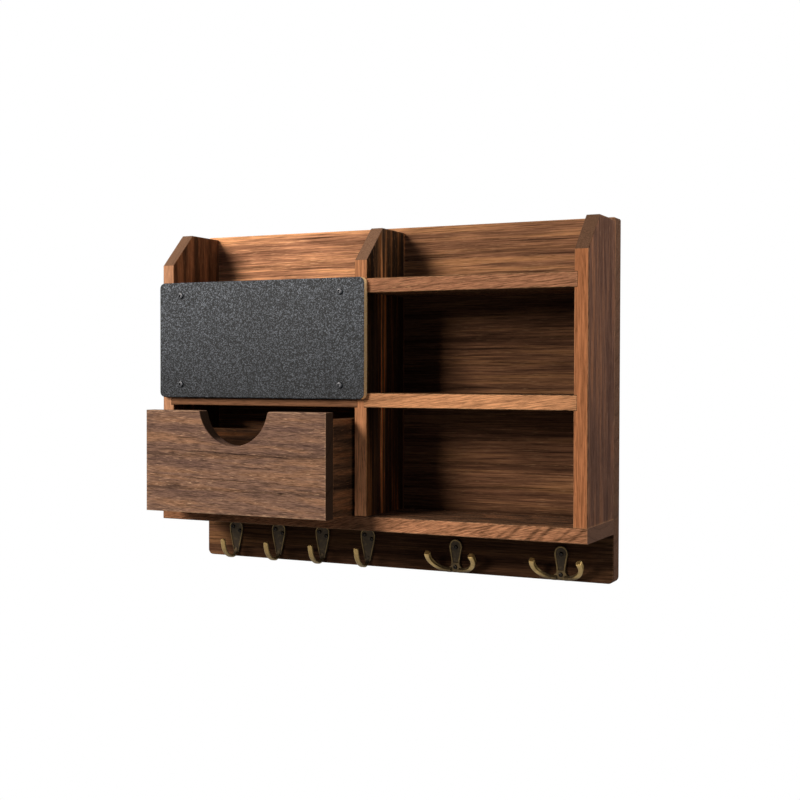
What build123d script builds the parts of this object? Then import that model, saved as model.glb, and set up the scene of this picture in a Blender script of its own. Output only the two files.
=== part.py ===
from build123d import *
import math
import os

# Wall organizer: a dado-jointed wooden case with a mail slot behind a chalkboard, a drawer,
# two cubbies, an open tray and a rail of cast hooks. Millimetres, +Z up.
# Origin: on the wall, midway between the two points where the case hangs.
# +X is to the right as seen from the front, and the front faces -Y.

# Case
case_width = 406.0
case_depth = 73.0
upright_thickness = 12.0
upright_height = 250.0
divider_height = 248.0
corner_cut = 30.0
shelf_thickness = 12.5
left_bay_width = 187.0
middle_shelf_height = 105.0
top_shelf_height = 202.5
dado_depth = 3.0
board_ease = 1.0

# Back board; its lower strip is the hook rail
back_thickness = 15.0
back_height = 307.0
rail_drop = 42.0
rail_corner_radius = 5.0
back_corner_radius = 2.0

# Keyhole slots that the case hangs by, routed into the back board
hanger_spacing = 300.0
hanger_drop = 25.0
keyhole_radius = 4.5
keyhole_slot_width = 4.8
keyhole_rise = 12.0
keyhole_depth = 9.0
keyhole_lip = 4.0

# Chalkboard and the cleats behind it
chalkboard_height = 104.0
chalkboard_thickness = 5.0
chalkboard_corner_radius = 5.0
chalkboard_lap = 5.5
chalkboard_screw_inset = 23.5
chalkboard_screw_edge = 12.0
cleat_width = 22.0
cleat_thickness = 12.0
cleat_drop = 4.0

# Drawer
drawer_front_height = 89.0
drawer_front_thickness = 12.0
drawer_side_gap = 2.5
drawer_depth = 72.0
drawer_wall = 9.0
drawer_wall_drop = 6.0
drawer_back_drop = 12.0
drawer_pulled_out = 45.0
drawer_bottom_thickness = 3.0
drawer_bottom_height = 5.0
drawer_groove_depth = 4.0
groove_clearance = 0.3
notch_depth = 30.0
notch_width = 68.0
notch_corner_radius = 3.0
brad_radius = 0.8
brad_length = 22.0
brad_edge = 20.0

# Single hooks
single_hook_first = 33.4
single_hook_pitch = 47.4
single_hook_count = 4
single_plate_top = 8.4
single_plate_foot = 37.5
single_plate_width = 14.8
single_foot_width = 5.2
single_plate_corner = 4.0
single_plate_shoulder = 8.0
hook_plate_thickness = 2.4
hook_rim_width = 1.2
hook_rim_height = 0.8
single_arm_width = 4.8
single_arm_thickness = 3.4
single_arm_low = 42.2
single_inner_bend = 7.0
single_outer_bend = 15.5
single_tip_turn = 78.0
single_tip_run = 5.6
single_arm_bevel = 1.1
single_left_screw = (-3.6, 13.3)
single_right_screw = (3.8, 17.0)

# Double hooks
double_hook_count = 2
double_hook_shift = 3.2
double_plate_top = 12.4
double_plate_foot = 42.2
double_plate_width = 12.6
double_waist_width = 7.0
double_waist_drop = 34.0
double_base_width = 22.0
double_flare_hollow = 1.0
double_arm_width = 5.0
double_arm_thickness = 3.2
double_arm_start = 4.1
double_arm_run = 4.7
double_arm_bend = 16.6
double_arm_lean = 42.0
double_tip_turn = 100.0
double_arm_bevel = 0.9
double_upper_screw = 19.2
double_lower_screw = 37.3

# Fasteners
hole_clearance = 0.05
head_bevel = 0.7
small_screw_radius = 1.2
small_head_radius = 2.0
small_head_height = 1.5
small_screw_length = 12.0
board_screw_radius = 1.5
board_head_radius = 2.8
board_head_height = 1.8
board_screw_length = 16.0
wood_screw_radius = 1.75
wood_head_radius = 3.5
wood_head_sink = 0.4
wood_screw_length = 40.0
bottom_screw_edge = 20.0
back_screw_edge = 40.0

# Places worked out from the sizes above
right_x = case_width / 2
left_x = -right_x
back_face = -back_thickness
front_face = back_face - case_depth
back_top = hanger_drop
back_low = back_top - back_height
case_low = back_low + rail_drop
floor_z = case_low + shelf_thickness
middle_low = case_low + middle_shelf_height
middle_top = middle_low + shelf_thickness
top_low = case_low + top_shelf_height
bay_left = left_x + upright_thickness
divider_left = bay_left + left_bay_width
divider_right = divider_left + upright_thickness
bay_right = right_x - upright_thickness


def block(low, high):
    size = [h - l for l, h in zip(low, high)]
    centre = [(l + h) / 2 for l, h in zip(low, high)]
    return Pos(*centre) * Box(*size)


def rod(start, direction, radius, length):
    return Plane(origin=start, z_dir=direction) * Cylinder(
        radius, length, align=(Align.CENTER, Align.CENTER, Align.MIN)
    )


def eased(board, edges, size):
    return fillet(edges, size) if edges else board


def front_edges(board):
    low_y = board.bounding_box().min.Y
    return [e for e in board.edges() if e.bounding_box().max.Y < low_y + 1e-3]


# Case boards

def upright(x, height, dados):
    top = floor_z + height
    outline = Polyline(
        (front_face, floor_z), (front_face, top - corner_cut), (front_face + corner_cut, top),
        (back_face, top), (back_face, floor_z), close=True,
    )
    board = extrude(Plane.YZ.offset(x) * make_face(outline), amount=upright_thickness)
    rounded = [
        e for e in board.edges().filter_by(Plane.YZ)
        if e.center().Z > floor_z + 1e-3 and e.center().Y < back_face - 1e-3
    ]
    board = eased(board, rounded, board_ease)
    for low_x, level in dados:
        board -= block(
            (low_x, front_face, level), (low_x + dado_depth, back_face, level + shelf_thickness)
        )
    for hole in back_screw_holes() + bottom_screw_holes():
        board -= hole
    return board


def left_side():
    return upright(left_x, upright_height, [(bay_left - dado_depth, middle_low)])


def right_side():
    return upright(bay_right, upright_height, [(bay_right, z) for z in (middle_low, top_low)])


def divider():
    right_dados = [(divider_right - dado_depth, z) for z in (middle_low, top_low)]
    return upright(divider_left, divider_height, [(divider_left, middle_low)] + right_dados)


def shelf(low_x, high_x, level):
    board = block((low_x, front_face, level), (high_x, back_face, level + shelf_thickness))
    long_edges = [e for e in front_edges(board) if e.length > shelf_thickness + 1e-3]
    return eased(board, long_edges, board_ease)


def bottom_shelf():
    board = shelf(left_x, right_x, case_low)
    for hole in bottom_screw_holes():
        board -= hole
    return board


def mail_shelf():
    return shelf(bay_left - dado_depth, divider_left + dado_depth, middle_low)


def right_shelf(level):
    return shelf(divider_right - dado_depth, bay_right + dado_depth, level)


def back_panel():
    board = block((left_x, back_face, back_low), (right_x, 0, back_top))
    upright_edges = board.edges().filter_by(Axis.Y)
    board = fillet(upright_edges.group_by(Axis.Z)[0], rail_corner_radius)
    board = fillet(board.edges().filter_by(Axis.Y).group_by(Axis.Z)[-1], back_corner_radius)
    board = eased(board, front_edges(board), board_ease)
    for x in (-hanger_spacing / 2, hanger_spacing / 2):
        board -= keyhole(x)
    for hole in back_screw_holes():
        board -= hole
    pilot_depth = small_screw_length - hook_plate_thickness + hook_rim_height + hole_clearance
    for x, z in single_screw_places() + double_screw_places():
        board -= rod((x, back_face, z), (0, 1, 0), small_screw_radius + hole_clearance, pilot_depth)
    return board


# A wall screw's head enters the round hole, and the case drops until the shank meets the top of the slot.
def keyhole(x):
    entry_z = -keyhole_rise
    half_slot = keyhole_slot_width / 2
    entry = rod((x, 0, entry_z), (0, -1, 0), keyhole_radius, keyhole_depth)
    slot = block((x - half_slot, -keyhole_depth, entry_z), (x + half_slot, 0, 0))
    slot += rod((x, 0, 0), (0, -1, 0), half_slot, keyhole_depth)
    pocket = block((x - keyhole_radius, -keyhole_depth, entry_z), (x + keyhole_radius, -keyhole_lip, 0))
    pocket += rod((x, -keyhole_lip, 0), (0, -1, 0), keyhole_radius, keyhole_depth - keyhole_lip)
    return entry + slot + pocket


# Chalkboard

def chalkboard_low():
    return middle_top - chalkboard_lap


def chalkboard_screw_points():
    low = chalkboard_low() + chalkboard_screw_edge
    high = chalkboard_low() + chalkboard_height - chalkboard_screw_edge
    return [
        (x, z)
        for x in (left_x + chalkboard_screw_inset, divider_right - chalkboard_screw_inset)
        for z in (low, high)
    ]


def chalkboard():
    low = chalkboard_low()
    board = block(
        (left_x, front_face - chalkboard_thickness, low),
        (divider_right, front_face, low + chalkboard_height),
    )
    board = fillet(board.edges().filter_by(Axis.Y), chalkboard_corner_radius)
    for x, z in chalkboard_screw_points():
        board -= rod(
            (x, front_face, z), (0, -1, 0), board_screw_radius + hole_clearance, chalkboard_thickness
        )
    return board


def cleat(low_x):
    top = chalkboard_low() + chalkboard_height - cleat_drop
    board = block((low_x, front_face, middle_top), (low_x + cleat_width, front_face + cleat_thickness, top))
    for x, z in chalkboard_screw_points():
        board -= rod((x, front_face, z), (0, 1, 0), board_screw_radius + hole_clearance, cleat_thickness)
    return board


# Drawer, shown partly pulled out

def drawer_places():
    low_x = bay_left + drawer_side_gap
    high_x = divider_left - drawer_side_gap
    front_y = front_face - drawer_pulled_out
    return low_x, high_x, front_y, front_y + drawer_depth


def drawer_front():
    low_x, high_x, front_y, _ = drawer_places()
    width = high_x - low_x
    rise = (notch_width ** 2 / 4 - notch_depth ** 2) / (2 * notch_depth)
    radius = notch_depth + rise
    face = Rectangle(width, drawer_front_height)
    face -= Pos(0, drawer_front_height / 2 + rise) * Circle(radius)
    mouth = face.vertices().group_by(Axis.Y)[-1].sort_by(Axis.X)[1:-1]
    face = fillet(mouth, notch_corner_radius)
    centre = ((low_x + high_x) / 2, front_y, floor_z + drawer_front_height / 2)
    front_view = Plane(origin=centre, x_dir=(1, 0, 0), z_dir=(0, -1, 0))
    board = extrude(front_view * face, amount=-drawer_front_thickness)
    board = eased(board, front_edges(board), board_ease)
    return board - drawer_groove()


def drawer_wall_height():
    return drawer_front_height - drawer_wall_drop


def drawer_side(low_x):
    _, _, front_y, rear_y = drawer_places()
    board = block(
        (low_x, front_y + drawer_front_thickness, floor_z),
        (low_x + drawer_wall, rear_y, floor_z + drawer_wall_height()),
    )
    board = board - drawer_groove()
    for brad in drawer_brad_rods(hole_clearance):
        board -= brad
    return board


def drawer_left_side():
    return drawer_side(drawer_places()[0])


def drawer_right_side():
    return drawer_side(drawer_places()[1] - drawer_wall)


def drawer_back():
    low_x, high_x, _, rear_y = drawer_places()
    board = block(
        (low_x + drawer_wall, rear_y - drawer_wall, floor_z),
        (high_x - drawer_wall, rear_y, floor_z + drawer_wall_height() - drawer_back_drop),
    )
    board = board - drawer_groove()
    for brad in drawer_brad_rods(hole_clearance):
        board -= brad
    return board


def drawer_panel(reach):
    low_x, high_x, front_y, rear_y = drawer_places()
    low = floor_z + drawer_bottom_height
    return block(
        (low_x + drawer_wall - reach, front_y + drawer_front_thickness - reach, low),
        (high_x - drawer_wall + reach, rear_y - drawer_wall + reach, low + drawer_bottom_thickness),
    )


def drawer_groove():
    return drawer_panel(drawer_groove_depth)


def drawer_bottom():
    return drawer_panel(drawer_groove_depth - groove_clearance)


def drawer_brad_rods(slack):
    low_x, high_x, _, rear_y = drawer_places()
    y = rear_y - drawer_wall / 2
    levels = (floor_z + brad_edge, floor_z + drawer_wall_height() - brad_edge)
    brads = []
    for z in levels:
        brads.append(rod((low_x, y, z), (1, 0, 0), brad_radius + slack, brad_length + slack))
        brads.append(rod((high_x, y, z), (-1, 0, 0), brad_radius + slack, brad_length + slack))
    return brads


# Hooks, drawn about x = 0 with z = 0 at the underside of the bottom shelf

def hook_plane(x):
    return Plane(origin=(x, back_face, case_low), x_dir=(1, 0, 0), z_dir=(0, -1, 0))


def hook_plate(outline):
    plate = extrude(outline, amount=hook_plate_thickness)
    channel = extrude(offset(outline, -hook_rim_width), amount=hook_rim_height)
    return plate - Pos(0, 0, hook_plate_thickness - hook_rim_height) * channel


def strap(path, thickness, width, bevel):
    bar = extrude(SlotArc(path, thickness), amount=width / 2, both=True)
    flat_faces = bar.faces().filter_by(Axis.Z)
    return chamfer([e for f in flat_faces for e in f.edges()], bevel)


def plate_hole(dx, drop):
    return rod((dx, -drop, 0), (0, 0, 1), small_screw_radius + hole_clearance, hook_plate_thickness)


def single_outline():
    top, foot = -single_plate_top, -single_plate_foot
    half, half_foot = single_plate_width / 2, single_foot_width / 2
    shoulder = top - single_plate_shoulder
    face = make_face(Polyline(
        (-half, top), (half, top), (half, shoulder), (half_foot, foot),
        (-half_foot, foot), (-half, shoulder), close=True,
    ))
    return fillet(face.vertices().group_by(Axis.Y)[-1], single_plate_corner)


# Side view of the arm: down the plate's foot, round under it, then up to the tip.
def single_arm_path():
    start = single_arm_thickness / 2
    low = -single_arm_low + single_arm_thickness / 2
    bottom = start + single_inner_bend
    inner = CenterArc((bottom, low + single_inner_bend), single_inner_bend, 180, 90)
    outer = CenterArc((bottom, low + single_outer_bend), single_outer_bend, 270, single_tip_turn)
    tip = outer @ 1
    way = outer % 1
    return Wire([inner, outer, Line(tip, tip + way * single_tip_run)])


def single_hook(x):
    hook = hook_plate(single_outline())
    arm = strap(single_arm_path(), single_arm_thickness, single_arm_width, single_arm_bevel)
    side_view = Plane(origin=(0, 0, 0), x_dir=(0, 0, 1), z_dir=(-1, 0, 0))
    hook = hook + side_view * arm
    for dx, drop in (single_left_screw, single_right_screw):
        hook -= plate_hole(dx, drop)
    return hook_plane(x) * hook


def double_outline():
    wide, waist, base = double_plate_width / 2, double_waist_width / 2, double_base_width / 2
    shoulder = -double_plate_top - wide
    foot = -double_plate_foot
    knee = foot + double_arm_thickness
    mid_x = (waist + base) / 2 - double_flare_hollow
    mid_y = (knee - double_waist_drop) / 2 - double_flare_hollow
    edges = [
        ThreePointArc((-wide, shoulder), (0, -double_plate_top), (wide, shoulder)),
        Line((wide, shoulder), (waist, -double_waist_drop)),
        ThreePointArc((waist, -double_waist_drop), (mid_x, mid_y), (base, knee)),
        Line((base, knee), (base, foot)),
        Line((base, foot), (-base, foot)),
        Line((-base, foot), (-base, knee)),
        ThreePointArc((-base, knee), (-mid_x, mid_y), (-waist, -double_waist_drop)),
        Line((-waist, -double_waist_drop), (-wide, shoulder)),
    ]
    return make_face(edges)


# One arm, in the forward-leaning plane that it rises in.
def double_arm_path():
    run = Line((double_arm_start, 0), (double_arm_run, 0))
    bend = CenterArc((double_arm_run, double_arm_bend), double_arm_bend, 270, double_tip_turn)
    return Wire([run, bend])


def double_hook(x):
    hook = hook_plate(double_outline())
    arm = strap(double_arm_path(), double_arm_thickness, double_arm_width, double_arm_bevel)
    lean = math.radians(double_arm_lean)
    half_width, half_thickness = double_arm_width / 2, double_arm_thickness / 2
    rise = half_width * math.sin(lean) + half_thickness * math.cos(lean)
    out = half_width * math.cos(lean) + half_thickness * math.sin(lean)
    for side in (-1, 1):
        across = (0, -side * math.sin(lean), side * math.cos(lean))
        hook += Plane(origin=(0, rise - double_plate_foot, out), x_dir=(side, 0, 0), z_dir=across) * arm
    for drop in (double_upper_screw, double_lower_screw):
        hook -= plate_hole(0, drop)
    return hook_plane(x) * hook


def single_hook_places():
    return [left_x + single_hook_first + i * single_hook_pitch for i in range(single_hook_count)]


def double_hook_places():
    pitch = (right_x - divider_right) / double_hook_count
    return [divider_right + double_hook_shift + (i + 0.5) * pitch for i in range(double_hook_count)]


def single_screw_places():
    pair = (single_left_screw, single_right_screw)
    return [(x + dx, case_low - drop) for x in single_hook_places() for dx, drop in pair]


def double_screw_places():
    pair = (double_upper_screw, double_lower_screw)
    return [(x, case_low - drop) for x in double_hook_places() for drop in pair]


# Fasteners

def domed_screw(seat, direction, radius, head_radius, head_height, length):
    head = rod(seat, direction, head_radius, head_height)
    head = chamfer(head.edges().filter_by(GeomType.CIRCLE).sort_by_distance(seat)[-1], head_bevel)
    back = [-d for d in direction]
    return head + rod(seat, back, radius, length)


def small_screw(x, z):
    seat = (x, back_face - hook_plate_thickness + hook_rim_height, z)
    return domed_screw(
        seat, (0, -1, 0), small_screw_radius, small_head_radius, small_head_height, small_screw_length
    )


def board_screw(x, z):
    seat = (x, front_face - chalkboard_thickness, z)
    return domed_screw(
        seat, (0, -1, 0), board_screw_radius, board_head_radius, board_head_height, board_screw_length
    )


def sunk_shape(seat, direction, slack):
    radius, head = wood_screw_radius + slack, wood_head_radius + slack
    depth = head - radius
    place = Plane(origin=seat, z_dir=direction)
    cone = Cone(head, radius, depth, align=(Align.CENTER, Align.CENTER, Align.MIN))
    shank = Cylinder(radius, wood_screw_length + slack, align=(Align.CENTER, Align.CENTER, Align.MIN))
    return place * (Pos(0, 0, wood_head_sink) * (cone + shank))


def sunk_hole(seat, direction):
    mouth = rod(seat, direction, wood_head_radius + hole_clearance, wood_head_sink)
    return sunk_shape(seat, direction, hole_clearance) + mouth


def back_screw_points():
    low, high = floor_z + back_screw_edge, floor_z + divider_height - back_screw_edge
    rows = (low, (low + high) / 2, high)
    half = upright_thickness / 2
    return [(x, z) for x in (left_x + half, divider_left + half, right_x - half) for z in rows]


def bottom_screw_points():
    half = upright_thickness / 2
    rows = (front_face + bottom_screw_edge, back_face - bottom_screw_edge)
    return [(x, y) for x in (left_x + half, divider_left + half, right_x - half) for y in rows]


def back_screw_holes():
    return [sunk_hole((x, 0, z), (0, -1, 0)) for x, z in back_screw_points()]


def bottom_screw_holes():
    return [sunk_hole((x, y, case_low), (0, 0, 1)) for x, y in bottom_screw_points()]


def group(solids):
    return Compound(children=solids)


nodes = {
    "back_panel": back_panel(),
    "left_side": left_side(),
    "right_side": right_side(),
    "divider": divider(),
    "bottom_shelf": bottom_shelf(),
    "mail_shelf": mail_shelf(),
    "middle_shelf": right_shelf(middle_low),
    "top_shelf": right_shelf(top_low),
    "left_cleat": cleat(bay_left),
    "right_cleat": cleat(divider_left - cleat_width),
    "chalkboard": chalkboard(),
    "chalkboard_screws": group([board_screw(x, z) for x, z in chalkboard_screw_points()]),
    "drawer_front": drawer_front(),
    "drawer_left_side": drawer_left_side(),
    "drawer_right_side": drawer_right_side(),
    "drawer_back": drawer_back(),
    "drawer_bottom": drawer_bottom(),
    "drawer_brads": group(drawer_brad_rods(0)),
    "single_hook_screws": group([small_screw(x, z) for x, z in single_screw_places()]),
    "double_hook_screws": group([small_screw(x, z) for x, z in double_screw_places()]),
    "back_screws": group([sunk_shape((x, 0, z), (0, -1, 0), 0) for x, z in back_screw_points()]),
    "bottom_screws": group([sunk_shape((x, y, case_low), (0, 0, 1), 0) for x, y in bottom_screw_points()]),
}
for i, x in enumerate(single_hook_places(), 1):
    nodes[f"single_hook_{i}"] = single_hook(x)
for i, x in enumerate(double_hook_places(), 1):
    nodes[f"double_hook_{i}"] = double_hook(x)

os.makedirs("parts", exist_ok=True)
for name, solid in nodes.items():
    export_step(solid, f"parts/{name}.step")
    print(name, [round(v, 2) for v in solid.bounding_box().size])
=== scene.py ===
import math

import bpy
from mathutils import Matrix, Vector


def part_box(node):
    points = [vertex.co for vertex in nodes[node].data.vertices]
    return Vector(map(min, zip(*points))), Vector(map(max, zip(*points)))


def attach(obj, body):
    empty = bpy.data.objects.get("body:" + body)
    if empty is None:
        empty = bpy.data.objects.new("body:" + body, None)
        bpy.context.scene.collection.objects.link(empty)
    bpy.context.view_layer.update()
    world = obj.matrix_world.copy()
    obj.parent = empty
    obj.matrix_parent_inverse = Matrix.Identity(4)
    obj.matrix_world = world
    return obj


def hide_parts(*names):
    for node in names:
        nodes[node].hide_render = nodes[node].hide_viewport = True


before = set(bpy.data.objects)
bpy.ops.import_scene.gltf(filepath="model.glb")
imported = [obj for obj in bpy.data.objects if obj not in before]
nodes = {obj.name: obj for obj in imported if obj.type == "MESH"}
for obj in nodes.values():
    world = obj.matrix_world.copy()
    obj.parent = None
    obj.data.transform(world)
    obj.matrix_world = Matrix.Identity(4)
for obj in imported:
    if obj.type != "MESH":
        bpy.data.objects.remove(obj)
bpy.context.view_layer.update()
mm = 0.001
print("frame loaded:", len(nodes), "nodes")


def linear(hexColour):  # sRGB hex to the linear colour that the shaders take
    parts = [int(hexColour[i:i + 2], 16) / 255 for i in (1, 3, 5)]
    return tuple(c / 12.92 if c < 0.04045 else ((c + 0.055) / 1.055) ** 2.4 for c in parts) + (1.0,)


def grey(level):
    return (level, level, level, 1.0)


# Shader helpers. A value that is another node's output is linked, any other goes to a socket or to the node.
def addNode(tree, kind, values):
    node = tree.nodes.new(kind)
    for key, value in values.items():
        if isinstance(value, bpy.types.NodeSocket):
            tree.links.new(value, node.inputs[key])
        elif isinstance(key, int) or key in node.inputs:
            node.inputs[key].default_value = value
        else:
            setattr(node, key, value)
    return node


def calc(tree, operation, *values):
    inputs = {"operation": operation, **dict(enumerate(values))}
    return addNode(tree, "ShaderNodeMath", inputs).outputs[0]


def product(tree, first, *others):
    for other in others:
        first = calc(tree, "MULTIPLY", first, other)
    return first


def vectorCalc(tree, operation, *values):
    inputs = {"operation": operation, **dict(enumerate(values))}
    return addNode(tree, "ShaderNodeVectorMath", inputs).outputs[0]


def scaled(tree, vector, factor):
    inputs = {"operation": "SCALE", 0: vector, "Scale": factor}
    return addNode(tree, "ShaderNodeVectorMath", inputs).outputs[0]


def dot(tree, first, second):
    node = addNode(tree, "ShaderNodeVectorMath", {"operation": "DOT_PRODUCT", 0: first, 1: second})
    return node.outputs["Value"]


def xyz(tree, vector):
    return addNode(tree, "ShaderNodeSeparateXYZ", {0: vector}).outputs


def ranged(tree, source, start, end, first=0.0, last=1.0):
    limits = {"From Min": start, "From Max": end, "To Min": first, "To Max": last}
    return addNode(tree, "ShaderNodeMapRange", {**limits, "Value": source}).outputs[0]


def blended(tree, factor, first, second):  # two numbers
    return addNode(tree, "ShaderNodeMix", {"data_type": "FLOAT", 0: factor, 2: first, 3: second}).outputs[0]


def mixed(tree, factor, first, second):  # two colours
    return addNode(tree, "ShaderNodeMix", {"data_type": "RGBA", 0: factor, 6: first, 7: second}).outputs[2]


def ramp(tree, source, stops):  # stops: place from 0 to 1 and a linear colour
    node = addNode(tree, "ShaderNodeValToRGB", {"Fac": source})
    elements = node.color_ramp.elements
    while len(elements) < len(stops):
        elements.new(0.5)
    for element, (at, colour) in zip(elements, stops):
        element.position = at
        element.color = colour
    return node.outputs["Color"]


def noise(tree, at, size, detail, roughness=0.5, output="Fac"):
    values = {"Scale": 1 / size, "Detail": detail, "Roughness": roughness, "Vector": at}
    return addNode(tree, "ShaderNodeTexNoise", values).outputs[output]


def newMaterial(name):
    material = bpy.data.materials.new(name)
    material.use_nodes = True
    material.node_tree.nodes.clear()
    return material, material.node_tree


def objectMm(tree):  # where on the object, in mm
    return scaled(tree, addNode(tree, "ShaderNodeTexCoord", {}).outputs["Object"], 1 / mm)


def surfaceNormal(tree):
    return addNode(tree, "ShaderNodeNewGeometry", {}).outputs["Normal"]


def surface(tree, colour, rough, relief, settings):  # relief: strength, depth in mm, height
    strength, depth, height = relief
    bump = addNode(tree, "ShaderNodeBump", {"Strength": strength, "Distance": depth * mm, "Height": height})
    shader = addNode(tree, "ShaderNodeBsdfPrincipled", {
        **settings, "Base Color": colour, "Roughness": rough, "Normal": bump.outputs[0],
    })
    addNode(tree, "ShaderNodeOutputMaterial", {"Surface": shader.outputs[0]})


def dress(piece, material):
    piece.data.materials.clear()
    piece.data.materials.append(material)


# Torched and brushed pine, stained brown. The flame darkens it in bands and patches, brushing leaves short
# pale fibres and dark pores, and the late wood stays as a few thin dark lines along the board.
# These are the values of a board that names none of its own.
wood = {
    "streak": (18.0, 0.55),  # mm long and wide; real fibres are finer, this is what still shows
    "fleck": (7.0, 0.6),
    "patch": (80.0, 6.0),
    "bands": (200.0, 9.0),
    "tilt": (0, 0.010, 0.014),  # how far the grain runs off the board's axis
    "ringSpacing": 15.0,  # mm between ring lines
    "sway": (260.0, 60.0, 9.0),  # mm long, mm wide, mm of wander
    "patchy": 0.45,
    "streaks": 0.4,
    "pores": 0.4,
    "lines": 0.7,
    "flecks": 0.5,
    "sanded": 0.0,
    "wear": 0.3,
    "wearReach": 1.8,  # mm in from the edge
    "facesTorchAndShade": [],
    "torched": [],
    "marks": [],
    "ease": 0.6,  # mm of rounding on the edges
    "roughness": (0.50, 0.75),
    "specular": 0.01,
    "relief": (0.15, 0.12),  # strength, depth in mm
}
woodLayers = {  # detail, and a shift that keeps the layers from lining up
    "streak": (4.0, 3.1),
    "fleck": (1.0, 17.3),
    "patch": (4.0, 29.9),
    "bands": (4.0, 41.7),
    "sway": (2.0, 7.9),
}
woodSpans = {  # where in a noise, or in how far a face is turned, an effect starts and where it is full
    "streak": (0.38, 0.62), "pore": (0.26, 0.40), "fibre": (0.62, 0.72), "patch": (0.42, 0.58),
    "rough": (0.3, 0.7), "fray": (0.3, 0.7), "mark": (0.2, 1.0),
    "front": (0.80, 0.95), "top": (0.5, 0.8), "burnt": (0.1, 0.5), "end": (0.50, 0.62),
}
woodNoise = 0.62  # roughness of every layer's noise
darkStreaks = 0.85  # how strong dark streaks are beside pale ones
fibresLeft = {"patch": 0.3, "top": 0.2}  # share of the pale fibres outside patches and on shelf tops
wearStart = 0.2  # mm in from the edge
raggedWear = (-5.0, 3.0)  # mm by which the fibres pull the worn edge in and out
frayedMark = 0.4  # share of a mark's size by which its rim frays
endTones = (0.25, 1.75)  # end grain's brightness where the grain's is 0 and 2
stainStops = {"dark": 0.41, "mid": 0.50, "warm": 0.59}
ringTones = [(0.0, 0.55), (0.04, 0.96), (0.40, 1.0), (0.88, 0.92), (0.96, 0.5), (1.0, 0.45)]
ringsPerScale = 2 * math.pi / 20  # the wave texture's own scale, for a spacing in mm
topLevel = 4.0  # a ramp holds 0 to 1, so torch-and-shade levels go through it divided by this
rampStripFade = 5  # mm over which a ramped strip starts
grainTurn = {"X": (0, 0, 0), "Y": (0, 0, -math.pi / 2), "Z": (0, math.pi / 2, 0)}
grainAxis = {"X": (1, 0, 0), "Y": (0, 1, 0), "Z": (0, 0, 1)}


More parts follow.
